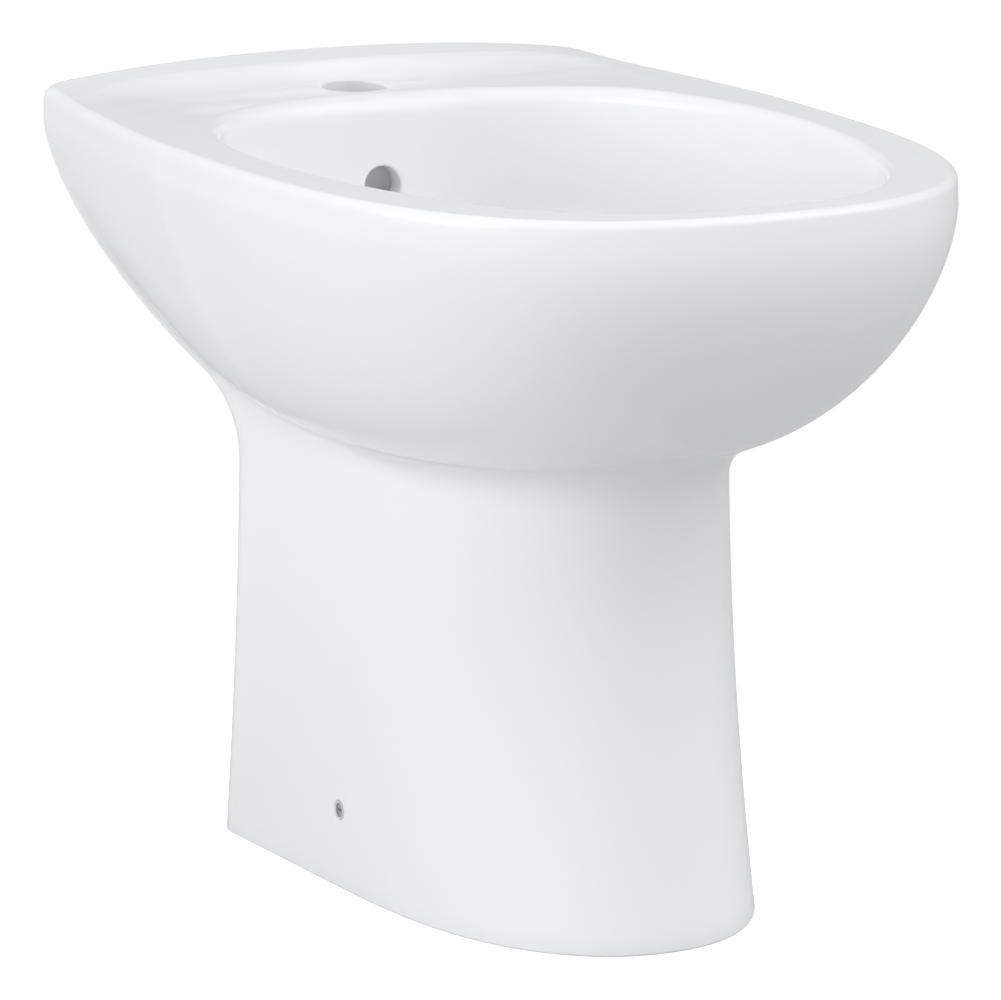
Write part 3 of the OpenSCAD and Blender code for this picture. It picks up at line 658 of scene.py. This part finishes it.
def surfaceVariation():
    # a node group: two noises give a slow cloud and a fine grain over the surface
    group, given, result = newGroup("surfaceVariation", [
        ("Coordinates", "Vector", "INPUT"), ("Cloud Scale", "Float", "INPUT"),
        ("Grain Scale", "Float", "INPUT"), ("Dark Color", "Color", "INPUT"),
        ("Light Color", "Color", "INPUT"), ("Least Roughness", "Float", "INPUT"),
        ("Most Roughness", "Float", "INPUT"), ("Color", "Color", "OUTPUT"),
        ("Roughness", "Float", "OUTPUT"), ("Height", "Float", "OUTPUT")])
    links = group.links
    cloud, grain, tint, gloss, both = newNodes(group.nodes, "TexNoise", "TexNoise", "Mix",
                                               "MapRange", "Math")
    cloud.inputs["Detail"].default_value = noiseSettings["cloudDetail"]
    grain.inputs["Detail"].default_value = noiseSettings["grainDetail"]
    for noise, scale in ((cloud, "Cloud Scale"), (grain, "Grain Scale")):
        links.new(given.outputs["Coordinates"], noise.inputs["Vector"])
        links.new(given.outputs[scale], noise.inputs["Scale"])
    tint.data_type = "RGBA"
    links.new(cloud.outputs["Fac"], tint.inputs["Factor"])
    links.new(given.outputs["Dark Color"], tint.inputs["A"])
    links.new(given.outputs["Light Color"], tint.inputs["B"])
    links.new(grain.outputs["Fac"], gloss.inputs["Value"])
    links.new(given.outputs["Least Roughness"], gloss.inputs["To Min"])
    links.new(given.outputs["Most Roughness"], gloss.inputs["To Max"])
    links.new(tint.outputs["Result"], result.inputs["Color"])
    links.new(gloss.outputs["Result"], result.inputs["Roughness"])
    both.operation = "MULTIPLY_ADD"
    both.inputs[1].default_value = noiseSettings["cloudHeight"]
    links.new(cloud.outputs["Fac"], both.inputs[0])
    links.new(grain.outputs["Fac"], both.inputs[2])
    links.new(both.outputs["Value"], result.inputs["Height"])
    return group


def turnedLines():
    # a node group: fine rings square to an axis, as a lathe or a thread leaves them
    group, given, result = newGroup("turnedLines", [
        ("Coordinates", "Vector", "INPUT"), ("Per Metre", "Float", "INPUT"),
        ("Height", "Float", "OUTPUT")])
    links = group.links
    wave = group.nodes.new("ShaderNodeTexWave")
    wave.bands_direction = "Z"
    wave.inputs["Distortion"].default_value = 0
    links.new(given.outputs["Coordinates"], wave.inputs["Vector"])
    links.new(given.outputs["Per Metre"], wave.inputs["Scale"])
    links.new(wave.outputs["Fac"], result.inputs["Height"])
    return group


variation, lines = surfaceVariation(), turnedLines()
finishes = {
    "glaze": dict(dark=(0.857, 0.866, 0.884), light=(0.88, 0.888, 0.905), cloud=9, grain=60,
                  rough=(0.07, 0.12), bump=0.012, depth=0.0004, specular=0.38),
    "biscuit": dict(dark=(0.62, 0.59, 0.54), light=(0.72, 0.69, 0.64), cloud=25, grain=900,
                    rough=(0.75, 0.95), bump=0.25, depth=0.0003),
    "chrome": dict(dark=(0.80, 0.81, 0.82), light=(0.86, 0.865, 0.87), cloud=30, grain=700,
                   rough=(0.05, 0.13), bump=0.02, depth=0.0002, metal=1),
    "turnedBrass": dict(dark=(0.66, 0.49, 0.24), light=(0.80, 0.62, 0.34), cloud=40, grain=900,
                        rough=(0.16, 0.3), bump=0.05, depth=0.0002, metal=1,
                        lines=300, cut=0.12, cutDepth=0.0006),
    "rubber": dict(dark=(0.028, 0.028, 0.03), light=(0.05, 0.05, 0.053), cloud=60, grain=1600,
                   rough=(0.55, 0.8), bump=0.15, depth=0.0002),
    "whitePlastic": dict(dark=(0.76, 0.765, 0.75), light=(0.82, 0.82, 0.80), cloud=40,
                         grain=1500, rough=(0.34, 0.46), bump=0.05, depth=0.0001),
    "greyPlastic": dict(dark=(0.60, 0.605, 0.615), light=(0.66, 0.665, 0.675), cloud=60,
                        grain=1500, rough=(0.35, 0.5), bump=0.05, depth=0.0001),
    "zincSteel": dict(dark=(0.50, 0.51, 0.53), light=(0.66, 0.67, 0.69), cloud=120, grain=1200,
                      rough=(0.28, 0.5), bump=0.08, depth=0.0002, metal=1),
}


def makeFinish(name, f):
    # colour and roughness wander with the noises, and their height is a slight bump
    material = bpy.data.materials.new(name)
    material.use_nodes = True
    nodes, links = material.node_tree.nodes, material.node_tree.links
    shader = nodes["Principled BSDF"]
    place, vary, bump = newNodes(nodes, "TexCoord", "Group", "Bump")
    vary.node_tree = variation
    links.new(place.outputs["Object"], vary.inputs["Coordinates"])
    for socket, value in (("Cloud Scale", f["cloud"]), ("Grain Scale", f["grain"]),
                          ("Dark Color", (*f["dark"], 1)), ("Light Color", (*f["light"], 1)),
                          ("Least Roughness", f["rough"][0]), ("Most Roughness", f["rough"][1])):
        vary.inputs[socket].default_value = value
    links.new(vary.outputs["Color"], shader.inputs["Base Color"])
    links.new(vary.outputs["Roughness"], shader.inputs["Roughness"])
    bump.inputs["Strength"].default_value = f["bump"]
    bump.inputs["Distance"].default_value = f["depth"]
    links.new(vary.outputs["Height"], bump.inputs["Height"])
    normal = bump
    if "lines" in f:
        ring, second = newNodes(nodes, "Group", "Bump")
        ring.node_tree = lines
        ring.inputs["Per Metre"].default_value = f["lines"]
        links.new(place.outputs["Object"], ring.inputs["Coordinates"])
        second.inputs["Strength"].default_value = f["cut"]
        second.inputs["Distance"].default_value = f["cutDepth"]
        links.new(ring.outputs["Height"], second.inputs["Height"])
        links.new(bump.outputs["Normal"], second.inputs["Normal"])
        normal = second
    links.new(normal.outputs["Normal"], shader.inputs["Normal"])
    shader.inputs["Metallic"].default_value = f.get("metal", 0)
    shader.inputs["Specular IOR Level"].default_value = f.get("specular", 0.5)
    return material


materials = {name: makeFinish(name, values) for name, values in finishes.items()}
nodeFinishes = {
    "chrome": ["waste_flange", "waste_plug", "inlet_nut", "dip_pipe", "neck_nut", "trap_body",
               "trap_cup", "outlet_nut", "outlet_pipe", "wall_rosette"],
    "rubber": ["flange_seal", "plug_seal", "lower_washer", "inlet_seal", "neck_seal", "cup_seal",
               "outlet_seal"],
    "whitePlastic": ["plug_cartridge", "slip_ring"],
    "greyPlastic": ["side_bushes"],
    "turnedBrass": ["lock_nut", "plug_stem"],
    "zincSteel": ["left_bracket", "right_bracket", "side_screws", "bracket_nuts", "plug_spring"],
}
for finish, names in nodeFinishes.items():
    for name in names:
        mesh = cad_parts[name].data
        mesh.materials.clear()
        mesh.materials.append(materials[finish])

ceramic.data.materials.clear()
for name in ("glaze", "biscuit"):
    ceramic.data.materials.append(materials[name])
ceramic.data.shade_smooth()
ceramic.data.set_sharp_from_angle(angle=math.radians(openings["sharpFrom"]))
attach(ceramic, "bidet")
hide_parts("ceramic_body")
print("finishes set")

# Floor and lights
studio = {
    "floorColor": (0.64, 0.64, 0.645), "floorGlow": 0.70, "floorHalf": 6.0,
    "floorRoughness": 0.9, "floorShine": 0.1,
    "shadeFrom": 0.35, "shadeTo": 1.0,   # metres from the middle, where the floor fades to white
    "sky": 0.479,
    "softLights": [
        # direction, cosine at which the light begins, strength at its middle
        ((-1, 0, 0.05), 0.85, 3.54), ((0.6, -0.6, 0.8), 0.8, 1.49), ((-0.95, 0.3, 0.1), 0.85, 0.99),
        ((0.9, -0.3, 0.6), 0.8, 0.48), ((-1, -0.6, 0.35), 0.8, 0.45), ((0, 1, 0.3), 0.35, 0.14),
    ],
    "lamp": dict(place=(0, -0.9, 1.5), facing=(0, 0, 0.25), width=0.6, watts=3.75),
}


def makeFloor(s):
    # near the object it is a lit pale floor, and further out it fades to plain white for the camera
    mesh = bpy.data.meshes.new("studioFloor")
    corners = [(x * s["floorHalf"], y * s["floorHalf"], 0)
               for x, y in ((-1, -1), (1, -1), (1, 1), (-1, 1))]
    mesh.from_pydata(corners, [], [(0, 1, 2, 3)])
    floor = addPiece("studioFloor", mesh)
    material = bpy.data.materials.new("studioFloor")
    material.use_nodes = True
    nodes, links = material.node_tree.nodes, material.node_tree.links
    shader, output = nodes["Principled BSDF"], nodes["Material Output"]
    shader.inputs["Base Color"].default_value = (*s["floorColor"], 1)
    shader.inputs["Roughness"].default_value = s["floorRoughness"]
    shader.inputs["Specular IOR Level"].default_value = s["floorShine"]
    place, distance, fade = newNodes(nodes, "TexCoord", "VectorMath", "MapRange")
    distance.operation = "LENGTH"
    links.new(place.outputs["Object"], distance.inputs[0])
    fade.interpolation_type = "SMOOTHSTEP"
    fade.inputs["From Min"].default_value = s["shadeFrom"]
    fade.inputs["From Max"].default_value = s["shadeTo"]
    links.new(distance.outputs["Value"], fade.inputs["Value"])
    seen, lift, glow, add = newNodes(nodes, "LightPath", "Math", "Emission", "AddShader")
    lift.operation = "MULTIPLY"
    lift.inputs[1].default_value = s["floorGlow"]
    links.new(seen.outputs["Is Camera Ray"], lift.inputs[0])
    links.new(lift.outputs["Value"], glow.inputs["Strength"])
    links.new(shader.outputs["BSDF"], add.inputs[0])
    links.new(glow.outputs["Emission"], add.inputs[1])
    mask, white, mix = newNodes(nodes, "Math", "Emission", "MixShader")
    mask.operation = "MULTIPLY"
    links.new(fade.outputs["Result"], mask.inputs[0])
    links.new(seen.outputs["Is Camera Ray"], mask.inputs[1])
    links.new(mask.outputs["Value"], mix.inputs["Fac"])
    links.new(add.outputs["Shader"], mix.inputs[1])
    links.new(white.outputs["Emission"], mix.inputs[2])
    links.new(mix.outputs["Shader"], output.inputs["Surface"])
    mesh.materials.append(material)


def makeWorld(s):
    # white to the camera, and to everything else a grey room with wide soft lights: each is a
    # smoothstep of the cosine between the ray and the light's direction
    world = bpy.data.worlds.new("studio")
    scene.world = world
    world.use_nodes = True
    nodes, links = world.node_tree.nodes, world.node_tree.links
    room, output = nodes["Background"], nodes["World Output"]
    ray, total = newNodes(nodes, "TexCoord", "Math")
    total.operation = "ADD"
    total.inputs[0].default_value = s["sky"]
    total.inputs[1].default_value = 0
    for direction, edge, strength in s["softLights"]:
        facing, lobe, more = newNodes(nodes, "VectorMath", "MapRange", "Math")
        facing.operation, more.operation = "DOT_PRODUCT", "ADD"
        lobe.interpolation_type = "SMOOTHSTEP"
        facing.inputs[1].default_value = Vector(direction).normalized()
        lobe.inputs["From Min"].default_value = edge
        lobe.inputs["From Max"].default_value = 1
        lobe.inputs["To Max"].default_value = strength
        links.new(ray.outputs["Generated"], facing.inputs[0])
        links.new(facing.outputs["Value"], lobe.inputs["Value"])
        links.new(lobe.outputs["Result"], more.inputs[0])
        links.new(total.outputs["Value"], more.inputs[1])
        total = more
    links.new(total.outputs["Value"], room.inputs["Strength"])
    seen, white, mix = newNodes(nodes, "LightPath", "Background", "MixShader")
    room.inputs["Color"].default_value = white.inputs["Color"].default_value = (1, 1, 1, 1)
    links.new(seen.outputs["Is Camera Ray"], mix.inputs["Fac"])
    links.new(room.outputs["Background"], mix.inputs[1])
    links.new(white.outputs["Background"], mix.inputs[2])
    links.new(mix.outputs["Shader"], output.inputs["Surface"])


def makeLamp(lamp):
    # a round lamp above the front lights the inside of the bowl
    data = bpy.data.lights.new("bowlLamp", "AREA")
    data.shape, data.size, data.energy = "DISK", lamp["width"], lamp["watts"]
    back = Vector(lamp["place"]) - Vector(lamp["facing"])
    holder = bpy.data.objects.new("bowlLamp", data)
    holder.location = lamp["place"]
    holder.rotation_euler = back.to_track_quat("Z", "Y").to_euler()
    holder.visible_camera = holder.visible_glossy = False
    scene.collection.objects.link(holder)


makeFloor(studio)
makeWorld(studio)
makeLamp(studio["lamp"])
scene.view_settings.view_transform = "Standard"
print("studio lit")
